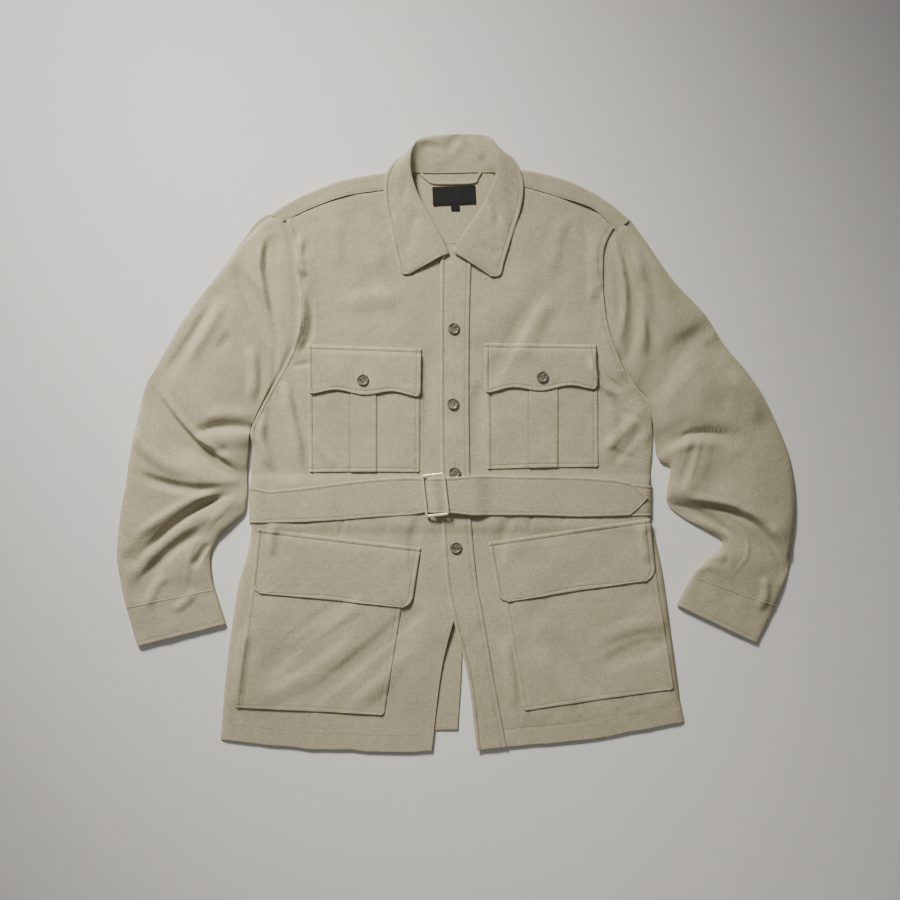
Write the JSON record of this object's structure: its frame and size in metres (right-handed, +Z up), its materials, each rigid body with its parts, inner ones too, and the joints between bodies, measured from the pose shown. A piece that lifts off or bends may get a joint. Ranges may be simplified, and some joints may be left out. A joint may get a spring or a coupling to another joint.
{
  "type": "safari jacket",
  "caption": "Belted long-sleeved safari jacket laid flat, buttoned, with patch pockets, flaps and a slide buckle.",
  "frame": {"origin": "middle of the garment's outline as it lies, on the surface that it lies on", "axes": "+X towards the wearer's left sleeve, +Y from hem to collar, +Z up out of the front"},
  "size_m": [0.8842, 0.8047, 0.0163],
  "materials": {
    "cloth": "matt, slightly slubby",
    "horn": "satin, mottled",
    "steel": "polished",
    "label": "matt, woven"
  },
  "bodies": {
    "root": {"back_left": "cloth", "back_right": "cloth", "yoke": "cloth", "front_left": "cloth", "front_right": "cloth", "sleeve_left": "cloth", "cuff_left": "cloth", "sleeve_right": "cloth", "cuff_right": "cloth", "collar": "cloth", "placket": "cloth", "chest_pocket_left": "cloth", "chest_pocket_right": "cloth", "hip_pocket_left": "cloth", "hip_pocket_right": "cloth", "chest_flap_left": "cloth", "chest_flap_right": "cloth", "hip_flap_left": "cloth", "hip_flap_right": "cloth", "belt_free_end": "cloth", "belt_buckle_end": "cloth", "belt_back": "cloth", "hanger_loop": "cloth", "button_front_1": "horn", "button_front_2": "horn", "button_front_3": "horn", "button_front_4": "horn", "button_flap_right": "horn", "button_flap_left": "horn", "buckle": "steel", "label": "label", "label_tab": "label"}
  },
  "joints": []
}
